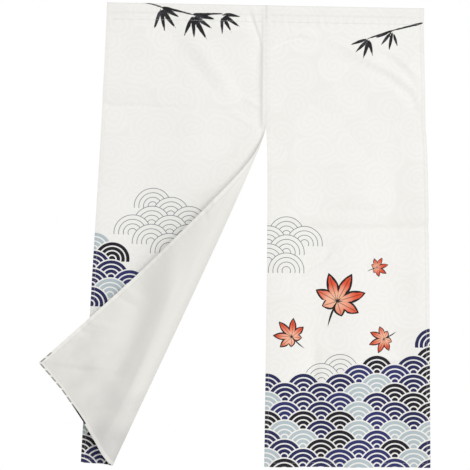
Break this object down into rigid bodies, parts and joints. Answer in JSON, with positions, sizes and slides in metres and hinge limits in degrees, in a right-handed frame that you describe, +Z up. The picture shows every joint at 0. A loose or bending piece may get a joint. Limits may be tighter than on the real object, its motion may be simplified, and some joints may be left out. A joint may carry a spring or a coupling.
{
  "type": "split door curtain",
  "caption": "Split door curtain of hemmed panels sewn together at the head, with a rod pocket along the top and one lower corner turned back in a soft roll.",
  "frame": {"origin": "middle of the top edge, above the centre seam, where a rod in the pocket carries the curtain", "axes": "+Z up along the drop, +X to the right across the width, -Y out of the printed front"},
  "size_m": [0.9927, 0.0733, 1.2],
  "materials": {
    "cloth": "matt off-white polyester linen, printed on the front, plain on the back"
  },
  "bodies": {
    "root": {"panel_left": "cloth", "panel_right": "cloth", "rod_pocket_left": "cloth", "rod_pocket_right": "cloth"}
  },
  "joints": []
}
